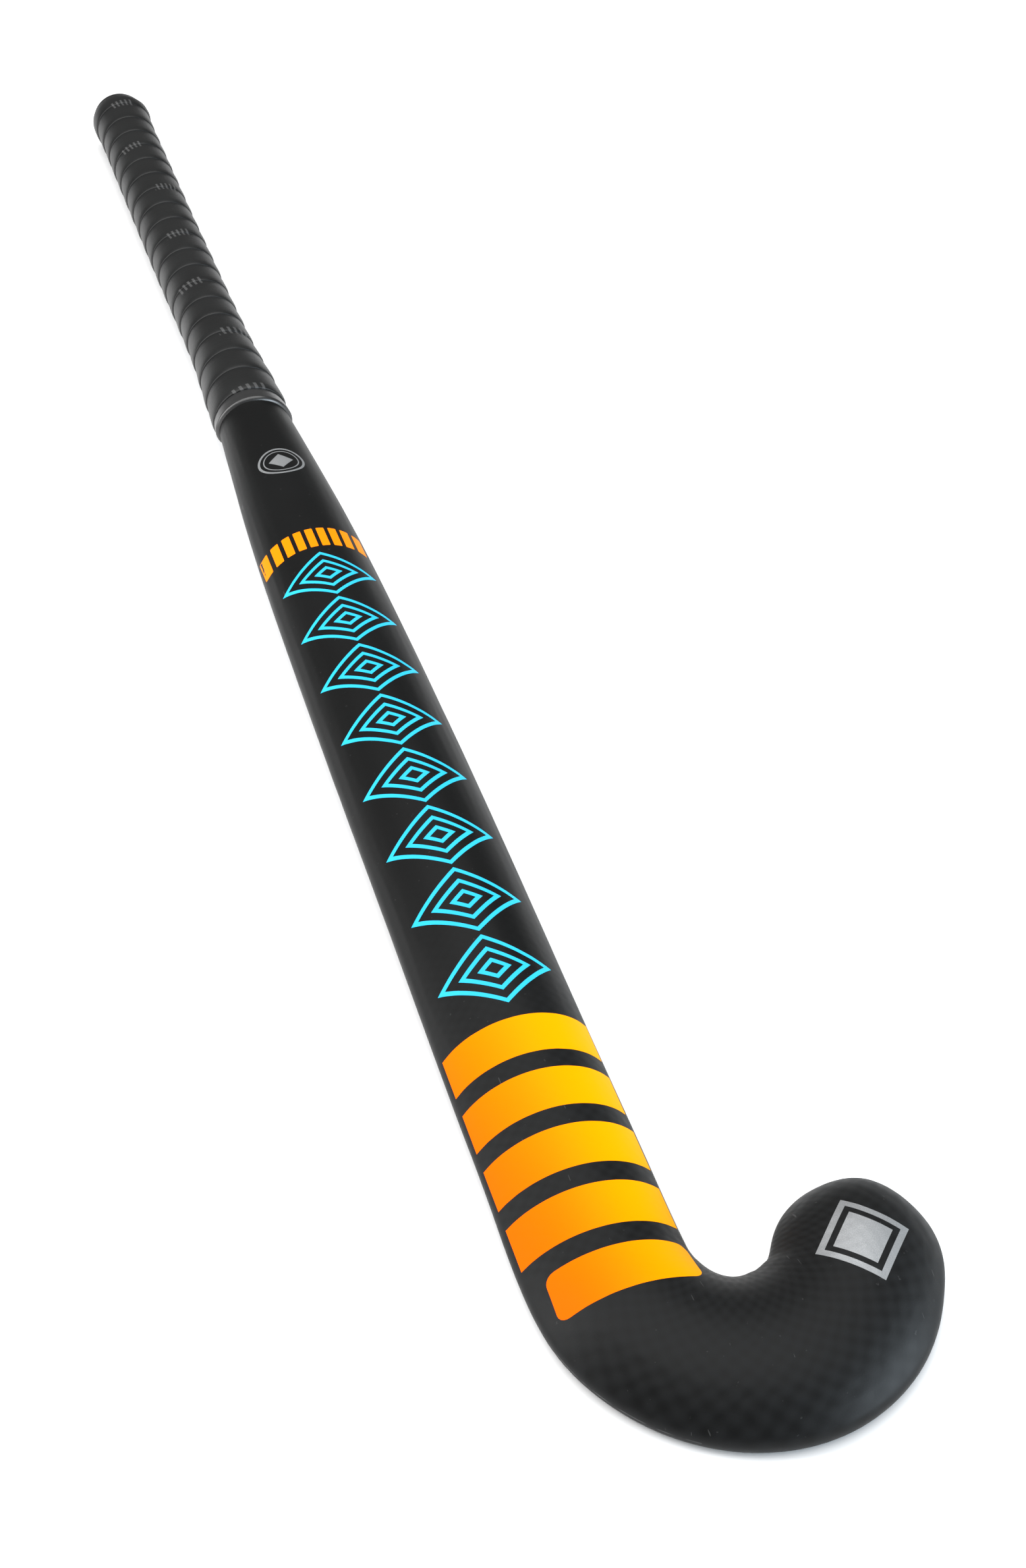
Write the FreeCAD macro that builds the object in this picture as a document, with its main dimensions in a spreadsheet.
import FreeCAD, Part
import math
import os
import Sketcher

# A composite field hockey stick, lying face down.
# Frame: the origin is on the flat playing face, on the shaft's centre line, where the hook starts
# to turn. +Y runs up the shaft to the butt, +X points to the toe, +Z comes out of the rounded back.
# The flat face of the head is the plane z = 0. All lengths are millimetres, all angles degrees.

DIMENSIONS = {
    # whole stick
    "hook_start_to_butt": 856.8,
    "hook_reach": 38.1,            # half the X reach of the hook's centre line
    "hook_depth": 42.4,            # how far the centre line drops below the hook's start
    "hook_turn": 150.0,            # how far the centre line turns before the toe's rounded end
    "toe_round": 29.8,             # length of the toe's rounded end
    "toe_drop": 0.75,              # share of the thickness lost over the rounded end
    "face_allowance": 0.4,         # laminate ground off the face to leave it flat
    # half widths of the laminate body, hook start to butt
    "half_width_blade": 25.7,
    "half_width_low": 25.4,
    "half_width_lower": 24.8,
    "half_width_middle": 22.5,
    "half_width_upper": 17.4,
    "half_width_neck": 12.6,
    "half_width_handle": 12.3,
    "half_width_end": 12.7,
    # half widths round the hook
    "half_width_heel": 26.6,
    "half_width_base": 27.8,
    "half_width_toe": 25.8,
    # front to back thickness of the laminate body
    "depth_toe": 21.0,
    "depth_head": 21.2,
    "depth_low": 23.6,
    "depth_middle": 24.6,
    "depth_upper": 24.8,
    "depth_handle": 22.8,
    # radius between the face and the rounded back
    "edge_head": 5.6,
    "edge_low": 6.4,
    "edge_middle": 7.6,
    "edge_upper": 9.4,
    "edge_handle": 10.8,
    # height of the shaft's face over the table: the bow
    "bow_low": 1.4,
    "bow_lower": 6.6,
    "bow_middle": 9.6,
    "bow_upper": 9.8,
    "bow_neck": 7.8,
    "bow_handle": 4.4,
    "bow_end": 4.25,
    # laminate and what it holds
    "wall": 2.5,
    "fit": 0.15,
    "tube_wall": 1.0,
    "core_top": 60.0,
    "tube_bottom": 62.0,
    "tube_top": 776.0,
    "plug_bottom": 778.0,
    "laminate_top": 846.0,
    # grip
    "grip_bottom": 470.5,
    "cushion_bottom": 486.0,
    "cushion_depth": 1.4,
    "tape_depth": 1.2,
    "lip_depth": 0.9,
    "flare_bottom": 812.0,
    "flare": 1.3,
    "butt_round": 9.0,             # how far the tape and the cap round in at the butt
    "tape_end": 4.6,               # from the tape's last edge to the butt
    "finish_length": 13.0,
    "finish_depth": 0.5,
    # butt cap
    "spigot_radius": 5.5,
    "spigot_length": 16.0,
}

doc = FreeCAD.newDocument("field_hockey_stick")
sheet = doc.addObject("Spreadsheet::Sheet", "Dims")
for row, (alias, value) in enumerate(DIMENSIONS.items(), start=1):
    sheet.set(f"A{row}", alias)
    sheet.set(f"B{row}", str(value))
    sheet.setAlias(f"B{row}", alias)
doc.recompute()


def value_of(expression):
    """The number that an expression on the sheet gives now."""
    result = sheet.evalExpression(expression)
    return float(getattr(result, "Value", result))


def size(name):
    return value_of(f"Dims.{name}")


# ---------------------------------------------------------------- stations along the stick

HALF_WIDTHS = [
    (0, "half_width_blade"), (120, "half_width_low"), (250, "half_width_lower"),
    (370, "half_width_middle"), (462, "half_width_upper"), (535, "half_width_neck"),
    (660, "half_width_handle"), (846, "half_width_end"),
]
DEPTHS = [
    (0, "depth_head"), (90, "depth_low"), (280, "depth_middle"), (462, "depth_upper"),
    (550, "depth_handle"), (846, "depth_handle"),
]
EDGES = [
    (0, "edge_head"), (120, "edge_low"), (300, "edge_middle"), (450, "edge_upper"),
    (535, "edge_handle"), (846, "edge_handle"),
]
BOWS = [
    (75, "bow_low"), (180, "bow_lower"), (300, "bow_middle"), (420, "bow_upper"),
    (535, "bow_neck"), (660, "bow_handle"), (846, "bow_end"),
]
BOW_RISE = 75                      # length over which the shaft's face leaves the table
SHAFT_STATIONS = [846, 790, 725, 660, 610, 570, 535, 510, 486, 462, 430, 390, 340, 280, 220, 160,
                  105, 60, 28, 0]
TUBE_HIGH_STATION = 750
TUBE_LOW_STATION = 80
FOAM_TOP_STATION = 160             # the foam's highest section, cut off later at core_top

# Anchors round the hook, by share of its turn.
HOOK_STEPS = 9
HOOK_WIDTHS = [
    (0, "half_width_blade"), (1 / 3, "half_width_heel"), (2 / 3, "half_width_base"),
    (1, "half_width_toe"),
]
HOOK_DEPTHS = [(0, "depth_head"), (0.6, "depth_head"), (1, "depth_toe")]
TOE_ANGLES = [14, 28, 41, 53, 64, 73, 80, 84.5, 87]
CAVITY_TOE_ANGLES = [20, 38, 52, 62]

# Stations and shares of the grip's layers, butt first.
CUSHION_STATIONS = [790, 725, 660, 610, 570, 535, 510]
CUSHION_TAPER = [0.75, 0.3]        # share of its depth left at the two lowest stations
TAPE_STATIONS = [846, 838, 826, 812, 790, 725, 660, 610, 570, 535, 510, 486]
TAPE_EDGE = 2                      # length of the tape's rounded last edge
BUTT_SHARES = [0, 0.02, 0.08, 0.2, 0.4, 0.65]
COVER_RISE = 40                    # length over which the tape comes to its full depth
BAND_OFFSET = 1.5                  # from the tape's lower edge to the band's

# Lengths that only serve the construction.
RUN_OUT = 1                        # how far a cut runs past the end it opens
GROUND_AREA = (-60, -100, 140, 90)
GROUND_DEPTH = 5
CORE_CUT_HALF_WIDTH = 60
CORE_CUT_LENGTH = 200
CORE_CUT_HEIGHT = 60
CORE_CUT_DEPTH = 80
LEAST_WEIGHT = 1e-5                # weights under this are left out of an expression
LEAST_TURN = 1e-9                  # keeps the axis of a rotation that doesn't turn


def blend(position, anchors):
    """Expression for a dimension at a position between anchor dimensions, by a cubic curve."""
    places = [place for place, _ in anchors]
    if position <= places[0]:
        return f"Dims.{anchors[0][1]}"
    if position >= places[-1]:
        return f"Dims.{anchors[-1][1]}"
    after = next(i for i, place in enumerate(places) if place >= position)
    before = after - 1
    span = places[after] - places[before]
    s = (position - places[before]) / span
    weights = [0.0] * len(anchors)
    weights[before] += 2 * s**3 - 3 * s**2 + 1
    weights[after] += -2 * s**3 + 3 * s**2
    for i, share in ((before, s**3 - 2 * s**2 + s), (after, s**3 - s**2)):
        low = max(i - 1, 0)
        high = min(i + 1, len(anchors) - 1)
        slope = share * span / (places[high] - places[low])
        weights[high] += slope
        weights[low] -= slope
    terms = [f"{w:.5f} * Dims.{anchors[i][1]}" for i, w in enumerate(weights)
             if abs(w) > LEAST_WEIGHT]
    return " + ".join(terms)


def shaft_station(position):
    """Place and section of the laminate body at a distance above the hook's start."""
    if position <= 0:
        lift = "0 - Dims.face_allowance"
    else:
        rise = min(position / BOW_RISE, 1)
        share = rise * rise * (3 - 2 * rise)
        lift = f"({blend(position, BOWS)}) * {share:.5f} - Dims.face_allowance * {1 - share:.5f}"
    return {
        "x": "0",
        "y": f"{position}",
        "z": lift,
        "turn": "0",
        "half_width": blend(position, HALF_WIDTHS),
        "depth": blend(position, DEPTHS),
        "edge": blend(position, EDGES),
    }


def hook_station(share):
    """Place and section of the laminate body at a share of the hook's turn."""
    angle = f"(Dims.hook_turn * {share:.5f})"
    return {
        "x": f"Dims.hook_reach * (1 - cos({angle}))",
        "y": f"0 - Dims.hook_depth * sin({angle})",
        "z": "0 - Dims.face_allowance",
        "turn": f"atan2(Dims.hook_reach * sin({angle}); Dims.hook_depth * cos({angle}))",
        "half_width": blend(share, HOOK_WIDTHS),
        "depth": blend(share, HOOK_DEPTHS) + " + Dims.face_allowance",
        "edge": "Dims.edge_head",
    }


def toe_station(angle, inset="0"):
    """Section of the toe's rounded end, where the body closes like the end of a spoon."""
    end = hook_station(1)
    step = f"(Dims.toe_round - {inset}) * {math.sin(math.radians(angle)):.5f}"
    narrowing = math.cos(math.radians(angle))
    station = dict(end)
    station["x"] = f"{end['x']} + {step} * sin({end['turn']})"
    station["y"] = f"{end['y']} - {step} * cos({end['turn']})"
    station["half_width"] = f"(Dims.half_width_toe - {inset}) * {narrowing:.5f} + {inset}"
    station["depth"] = f"({end['depth']}) * (1 - Dims.toe_drop * {1 - narrowing:.5f})"
    station["edge"] = f"Dims.edge_head * {math.sqrt(narrowing):.5f}"
    return station


def grown(station, by):
    """The same station with its section offset outward by an expression (inward if negative)."""
    station = dict(station)
    station["z"] = f"{station['z']} - ({by})"
    station["half_width"] = f"{station['half_width']} + ({by})"
    station["depth"] = f"{station['depth']} + 2 * ({by})"
    station["edge"] = f"{station['edge']} + ({by})"
    return station


def body_stations():
    shaft = [shaft_station(position) for position in SHAFT_STATIONS]
    hook = [hook_station(step / HOOK_STEPS) for step in range(1, HOOK_STEPS + 1)]
    toe = [toe_station(angle) for angle in TOE_ANGLES]
    return shaft + hook + toe


def cavity_stations(highest, lowest, by):
    """Stations of the space inside the laminate, or of a piece that fills it."""
    positions = [highest] + [p for p in SHAFT_STATIONS if lowest < p < highest]
    stations = [grown(shaft_station(position), by) for position in positions]
    if lowest > 0:
        return stations + [grown(shaft_station(lowest), by)]
    stations += [grown(shaft_station(0), by)]
    stations += [grown(hook_station(step / HOOK_STEPS), by) for step in range(1, HOOK_STEPS + 1)]
    stations += [grown(toe_station(angle, "Dims.wall"), by) for angle in CAVITY_TOE_ANGLES]
    return stations


def run_out(stations, ends=(0, -1)):
    """The same stations with the end ones moved a little outward, so that a cut runs through."""
    stations = list(stations)
    for end in ends:
        station = dict(stations[end])
        sign = "+" if end == 0 else "-"
        station["y"] = f"{station['y']} {sign} {RUN_OUT}"
        stations[end] = station
    return stations


# ---------------------------------------------------------------- sketches and lofts

def origin_plane(body, role):
    return next(f for f in body.Origin.OriginFeatures if f.Role == role)


def new_body(label):
    body = doc.addObject("PartDesign::Body", label)
    body.Label = label
    return body


def attach_across(sketch, body, station):
    """Stand a sketch across the stick: its x points to the hook's inside and its y along +Z."""
    sketch.AttachmentSupport = [(origin_plane(body, "XZ_Plane"), "")]
    sketch.MapMode = "FlatFace"
    place = FreeCAD.Vector(*(value_of(station[axis]) for axis in ("x", "z", "y")))
    place.z = -place.z
    turn = FreeCAD.Rotation(FreeCAD.Vector(0, 1, 0), value_of(station["turn"]) or LEAST_TURN)
    sketch.AttachmentOffset = FreeCAD.Placement(place, turn)
    sketch.setExpression(".AttachmentOffset.Base.x", station["x"])
    sketch.setExpression(".AttachmentOffset.Base.y", station["z"])
    sketch.setExpression(".AttachmentOffset.Base.z", f"0 - ({station['y']})")
    if station["turn"] != "0":
        sketch.setExpression(".AttachmentOffset.Rotation.Angle", station["turn"])


def arc_about(centre, radius, start, end):
    circle = Part.Circle(FreeCAD.Vector(centre[0], centre[1], 0), FreeCAD.Vector(0, 0, 1), radius)
    return Part.ArcOfCircle(circle, start, end)


def segment(start, end):
    return Part.LineSegment(FreeCAD.Vector(*start, 0), FreeCAD.Vector(*end, 0))


def d_section(body, name, station):
    """Sketch of a whole section: flat face, two rounded edges and one arc for the back."""
    w = value_of(station["half_width"])
    t = value_of(station["depth"])
    e = value_of(station["edge"])
    centre = ((t - e)**2 - (w - e)**2 - e**2) / (2 * (t - 2 * e))
    back = t - centre
    lean = math.atan2(e - centre, w - e)
    sketch = body.newObject("Sketcher::SketchObject", name)
    attach_across(sketch, body, station)
    face = sketch.addGeometry(segment((-(w - e), 0), (w - e, 0)))
    right = sketch.addGeometry(arc_about((w - e, e), e, -math.pi / 2, lean))
    rear = sketch.addGeometry(arc_about((0, centre), back, lean, math.pi - lean))
    left = sketch.addGeometry(arc_about((-(w - e), e), e, math.pi - lean, 1.5 * math.pi))
    for first, first_end, second, second_end in (
            (face, 2, right, 1), (right, 2, rear, 1), (rear, 2, left, 1), (left, 2, face, 1)):
        sketch.addConstraint(
            Sketcher.Constraint("Tangent", first, first_end, second, second_end))
    sketch.addConstraint(Sketcher.Constraint("Symmetric", face, 1, face, 2, -1, 1))
    sketch.addConstraint(Sketcher.Constraint("Equal", right, left))
    radius = sketch.addConstraint(Sketcher.Constraint("Radius", right, e))
    reach = sketch.addConstraint(Sketcher.Constraint("DistanceX", -1, 1, right, 3, w - e))
    top = sketch.addGeometry(Part.Point(FreeCAD.Vector(0, t, 0)), True)
    sketch.addConstraint(Sketcher.Constraint("PointOnObject", top, 1, -2))
    sketch.addConstraint(Sketcher.Constraint("PointOnObject", top, 1, rear))
    height = sketch.addConstraint(Sketcher.Constraint("DistanceY", -1, 1, top, 1, t))
    sketch.setExpression(f"Constraints[{radius}]", station["edge"])
    sketch.setExpression(f"Constraints[{reach}]", f"{station['half_width']} - ({station['edge']})")
    sketch.setExpression(f"Constraints[{height}]", station["depth"])
    return sketch


def half_section(body, name, station, side, web):
    """Sketch of half a section, beside the web that parts the two inner tubes."""
    w = value_of(station["half_width"])
    t = value_of(station["depth"])
    e = value_of(station["edge"])
    near = value_of(web)
    centre = ((t - e)**2 - (w - e)**2 - e**2) / (2 * (t - 2 * e))
    back = t - centre
    lean = math.atan2(e - centre, w - e)
    inner_top = centre + math.sqrt(back**2 - near**2)
    inner_angle = math.acos(near / back)
    sketch = body.newObject("Sketcher::SketchObject", name)
    attach_across(sketch, body, station)
    face = sketch.addGeometry(segment((side * near, 0), (side * (w - e), 0)))
    web_line = sketch.addGeometry(segment((side * near, inner_top), (side * near, 0)))
    if side > 0:
        corner = sketch.addGeometry(arc_about((w - e, e), e, -math.pi / 2, lean))
        rear = sketch.addGeometry(arc_about((0, centre), back, lean, inner_angle))
        joins = ((face, 2, corner, 1), (corner, 2, rear, 1))
        web_join = (rear, 2)
    else:
        corner = sketch.addGeometry(arc_about((-(w - e), e), e, math.pi - lean, 1.5 * math.pi))
        rear = sketch.addGeometry(
            arc_about((0, centre), back, math.pi - inner_angle, math.pi - lean))
        joins = ((face, 2, corner, 2), (corner, 1, rear, 2))
        web_join = (rear, 1)
    for join in joins:
        sketch.addConstraint(Sketcher.Constraint("Tangent", *join))
    sketch.addConstraint(Sketcher.Constraint("Coincident", web_line, 1, *web_join))
    sketch.addConstraint(Sketcher.Constraint("Coincident", web_line, 2, face, 1))
    sketch.addConstraint(Sketcher.Constraint("Vertical", web_line))
    sketch.addConstraint(Sketcher.Constraint("PointOnObject", face, 1, -1))
    sketch.addConstraint(Sketcher.Constraint("PointOnObject", face, 2, -1))
    sketch.addConstraint(Sketcher.Constraint("PointOnObject", rear, 3, -2))
    radius = sketch.addConstraint(Sketcher.Constraint("Radius", corner, e))
    first, second = ((-1, 1), (corner, 3)) if side > 0 else ((corner, 3), (-1, 1))
    reach = sketch.addConstraint(Sketcher.Constraint("DistanceX", *first, *second, w - e))
    first, second = ((-1, 1), (face, 1)) if side > 0 else ((face, 1), (-1, 1))
    offset = sketch.addConstraint(Sketcher.Constraint("DistanceX", *first, *second, near))
    top = sketch.addGeometry(Part.Point(FreeCAD.Vector(0, t, 0)), True)
    sketch.addConstraint(Sketcher.Constraint("PointOnObject", top, 1, -2))
    sketch.addConstraint(Sketcher.Constraint("PointOnObject", top, 1, rear))
    height = sketch.addConstraint(Sketcher.Constraint("DistanceY", -1, 1, top, 1, t))
    sketch.setExpression(f"Constraints[{radius}]", station["edge"])
    sketch.setExpression(f"Constraints[{reach}]", f"{station['half_width']} - ({station['edge']})")
    sketch.setExpression(f"Constraints[{offset}]", web)
    sketch.setExpression(f"Constraints[{height}]", station["depth"])
    return sketch


def disc(body, name, station, radius):
    """Sketch of one circle at a station's place, with its radius bound to an expression."""
    sketch = body.newObject("Sketcher::SketchObject", name)
    attach_across(sketch, body, station)
    circle = Part.Circle(FreeCAD.Vector(0, 0, 0), FreeCAD.Vector(0, 0, 1), value_of(radius))
    sketch.addGeometry(circle)
    sketch.addConstraint(Sketcher.Constraint("Coincident", 0, 3, -1, 1))
    index = sketch.addConstraint(Sketcher.Constraint("Radius", 0, value_of(radius)))
    sketch.setExpression(f"Constraints[{index}]", radius)
    return sketch


def loft(body, kind, name, sections):
    feature = body.newObject(f"PartDesign::{kind}", name)
    feature.Profile = sections[0]
    feature.Sections = sections[1:]
    return feature


def loft_through(body, kind, name, stations):
    sections = [d_section(body, f"{name}_{i:02d}", station) for i, station in enumerate(stations)]
    return loft(body, kind, name, sections)


# ---------------------------------------------------------------- pieces

def trim_below(body, name, area, height, depth):
    """Pocket that clears a rectangular area of the body, from a height down."""
    low_x, low_y, high_x, high_y = area
    corners = [(low_x, low_y), (high_x, low_y), (high_x, high_y), (low_x, high_y)]
    sketch = body.newObject("Sketcher::SketchObject", f"{name}_area")
    sketch.AttachmentSupport = [(origin_plane(body, "XY_Plane"), "")]
    sketch.MapMode = "FlatFace"
    sketch.AttachmentOffset = FreeCAD.Placement(FreeCAD.Vector(0, 0, height), FreeCAD.Rotation())
    for i in range(4):
        sketch.addGeometry(segment(corners[i], corners[(i + 1) % 4]))
    for i in range(4):
        sketch.addConstraint(Sketcher.Constraint("Coincident", i, 2, (i + 1) % 4, 1))
    for i in (0, 2):
        sketch.addConstraint(Sketcher.Constraint("Horizontal", i))
        sketch.addConstraint(Sketcher.Constraint("Vertical", i + 1))
    pocket = body.newObject("PartDesign::Pocket", name)
    pocket.Profile = sketch
    pocket.Length = depth
    pocket.Reversed = False
    return sketch


def make_outer_shell():
    """The moulded carbon laminate: solid outside shape, ground face, hollow inside."""
    body = new_body("outer_shell")
    loft_through(body, "AdditiveLoft", "laminate", body_stations())
    trim_below(body, "ground_face", GROUND_AREA, 0, GROUND_DEPTH)
    inside = cavity_stations(size("laminate_top"), 0, "0 - Dims.wall")
    loft_through(body, "SubtractiveLoft", "cavity", run_out(inside, ends=(0,)))
    return body


def make_head_core():
    """Foam that fills the head and the lowest stretch of the shaft."""
    body = new_body("head_core")
    inside = cavity_stations(FOAM_TOP_STATION, 0, "0 - Dims.wall - Dims.fit")
    loft_through(body, "AdditiveLoft", "foam", inside)
    top = size("core_top")
    corners = (-CORE_CUT_HALF_WIDTH, top, CORE_CUT_HALF_WIDTH, top + CORE_CUT_LENGTH)
    area = trim_below(body, "core_end", corners, CORE_CUT_HEIGHT, CORE_CUT_DEPTH)
    corner = area.addConstraint(Sketcher.Constraint("DistanceY", -1, 1, 0, 1, top))
    area.setExpression(f"Constraints[{corner}]", "Dims.core_top")
    return body


def make_tube(label, side):
    """One of the two laminate tubes that run up inside the shaft, side by side."""
    body = new_body(label)
    between = [p for p in SHAFT_STATIONS if size("tube_bottom") < p < size("tube_top")]
    positions = [size("tube_top"), TUBE_HIGH_STATION] + between
    positions += [TUBE_LOW_STATION, size("tube_bottom")]
    skins = (("AdditiveLoft", "tube", "0 - Dims.wall - Dims.fit", "0 + Dims.fit"),
             ("SubtractiveLoft", "bore", "0 - Dims.wall - Dims.fit - Dims.tube_wall",
              "Dims.fit + Dims.tube_wall"))
    for kind, name, by, web in skins:
        stations = [grown(shaft_station(position), by) for position in positions]
        if kind == "SubtractiveLoft":
            stations = run_out(stations)
        sections = [half_section(body, f"{name}_{i:02d}", station, side, web)
                    for i, station in enumerate(stations)]
        loft(body, kind, name, sections)
    return body


def make_handle_plug():
    """Rigid foam plug that closes the handle's end, bored for the cap's spigot."""
    body = new_body("handle_plug")
    inside = cavity_stations(size("laminate_top"), size("plug_bottom"), "0 - Dims.wall - Dims.fit")
    loft_through(body, "AdditiveLoft", "plug", inside)
    top = shaft_station(size("laminate_top"))
    top["z"] = f"{top['z']} + ({top['depth']}) / 2"
    bore = disc(body, "spigot_hole", top, "Dims.spigot_radius + Dims.fit")
    hole = body.newObject("PartDesign::Pocket", "spigot_bore")
    hole.Profile = bore
    hole.Reversed = True
    hole.setExpression("Length", f"Dims.spigot_length + {RUN_OUT}")
    return body


def wrapped(position, by):
    """A grip station: the laminate's section grown outward, with the flare at the butt."""
    station = grown(shaft_station(min(position, size("laminate_top"))), by)
    station["y"] = f"{position}"
    return station


def flare_share(position):
    rise = (position - size("flare_bottom")) / (size("laminate_top") - size("flare_bottom"))
    rise = min(max(rise, 0), 1)
    return rise * rise


def butt_rounding(position):
    """How far a section near the butt has rounded in, as an expression."""
    reach = position - size("hook_start_to_butt") + size("butt_round")
    if reach <= 0:
        return "0"
    share = 1 - math.sqrt(max(1 - (reach / size("butt_round"))**2, 0))
    return f"Dims.butt_round * {share:.4f}"


def make_cushion_wrap():
    """Foam underlay between the laminate and the grip tape."""
    body = new_body("cushion_wrap")
    positions = [size("laminate_top")] + CUSHION_STATIONS + [size("cushion_bottom")]
    shares = [1] * (len(positions) - len(CUSHION_TAPER)) + CUSHION_TAPER
    outside = []
    inside = []
    for position, share in zip(positions, shares):
        flare = f"Dims.flare * {flare_share(position):.4f}"
        outside.append(wrapped(position, f"Dims.fit + Dims.cushion_depth * {share} + {flare}"))
        inside.append(wrapped(position, "0 + Dims.fit"))
    loft_through(body, "AdditiveLoft", "underlay", outside)
    loft_through(body, "SubtractiveLoft", "underlay_bore", run_out(inside))
    return body


def make_grip_wrap():
    """Overlapped grip tape, from the finishing band to over the butt cap's rim."""
    body = new_body("grip_wrap")
    top = size("hook_start_to_butt") - size("tape_end")
    positions = [top, top - TAPE_EDGE] + TAPE_STATIONS + [size("grip_bottom")]
    outside = []
    inside = []
    for position in positions:
        cover = min(max((position - size("grip_bottom")) / COVER_RISE, 0), 1)
        flare = f"Dims.flare * {flare_share(position):.4f}"
        rounding = butt_rounding(position)
        under = f"2 * Dims.fit + Dims.cushion_depth * {cover:.4f} + {flare} - {rounding}"
        skin = f"Dims.lip_depth + (Dims.tape_depth - Dims.lip_depth) * {cover:.4f}"
        outside.append(wrapped(position, f"{under} + {skin}"))
        inside.append(wrapped(position, under))
    loft_through(body, "AdditiveLoft", "tape", outside)
    loft_through(body, "SubtractiveLoft", "tape_bore", run_out(inside))
    return body


def make_butt_cap():
    """Moulded end cap: a domed disc over the laminate's end, with a spigot into the plug."""
    body = new_body("butt_cap")
    root = size("laminate_top") + size("fit")
    end = size("hook_start_to_butt")
    positions = [end - size("butt_round") * share for share in BUTT_SHARES]
    dome = []
    for position in positions + [root]:
        under = "Dims.fit + Dims.cushion_depth + Dims.flare"
        dome.append(wrapped(position, f"{under} - {butt_rounding(position)}"))
    loft_through(body, "AdditiveLoft", "dome", dome)
    place = shaft_station(root)
    place["z"] = f"{place['z']} + ({place['depth']}) / 2"
    place["y"] = "Dims.laminate_top + Dims.fit"
    sketch = disc(body, "spigot_section", place, "Dims.spigot_radius")
    spigot = body.newObject("PartDesign::Pad", "spigot")
    spigot.Profile = sketch
    spigot.setExpression("Length", "Dims.spigot_length")
    return body


def make_finishing_tape():
    """Narrow elastic band that holds the lower end of the grip tape."""
    body = new_body("finishing_tape")
    bottom = size("grip_bottom") + BAND_OFFSET
    positions = [bottom + size("finish_length"), bottom + size("finish_length") / 2, bottom]
    outside = []
    inside = []
    for position in positions:
        cover = (position - size("grip_bottom")) / COVER_RISE
        skin = f"(Dims.tape_depth - Dims.lip_depth) * {cover:.4f}"
        under = f"3 * Dims.fit + Dims.cushion_depth * {cover:.4f} + Dims.lip_depth + {skin}"
        outside.append(wrapped(position, f"{under} + Dims.finish_depth"))
        inside.append(wrapped(position, under))
    loft_through(body, "AdditiveLoft", "band", outside)
    loft_through(body, "SubtractiveLoft", "band_bore", run_out(inside))
    return body


pieces = [
    make_outer_shell(),
    make_head_core(),
    make_tube("toe_side_tube", 1),
    make_tube("heel_side_tube", -1),
    make_handle_plug(),
    make_butt_cap(),
    make_cushion_wrap(),
    make_grip_wrap(),
    make_finishing_tape(),
]
doc.recompute()

# ---------------------------------------------------------------- checks and export

for item in doc.Objects:
    if "Invalid" in item.State or "Error" in item.State:
        raise RuntimeError(f"{item.Name} failed to build: {item.State}")
os.makedirs("parts", exist_ok=True)
for piece in pieces:
    shape = piece.Shape
    if shape.isNull() or not shape.isValid() or len(shape.Solids) != 1:
        raise RuntimeError(f"{piece.Label} is not one valid solid")
    box = shape.BoundBox
    print(f"{piece.Label}: {shape.Volume / 1000:.1f} cm3, X {box.XMin:.1f}..{box.XMax:.1f},"
          f" Y {box.YMin:.1f}..{box.YMax:.1f}, Z {box.ZMin:.2f}..{box.ZMax:.2f}")
    shape.exportStep(f"parts/{piece.Label}.step")
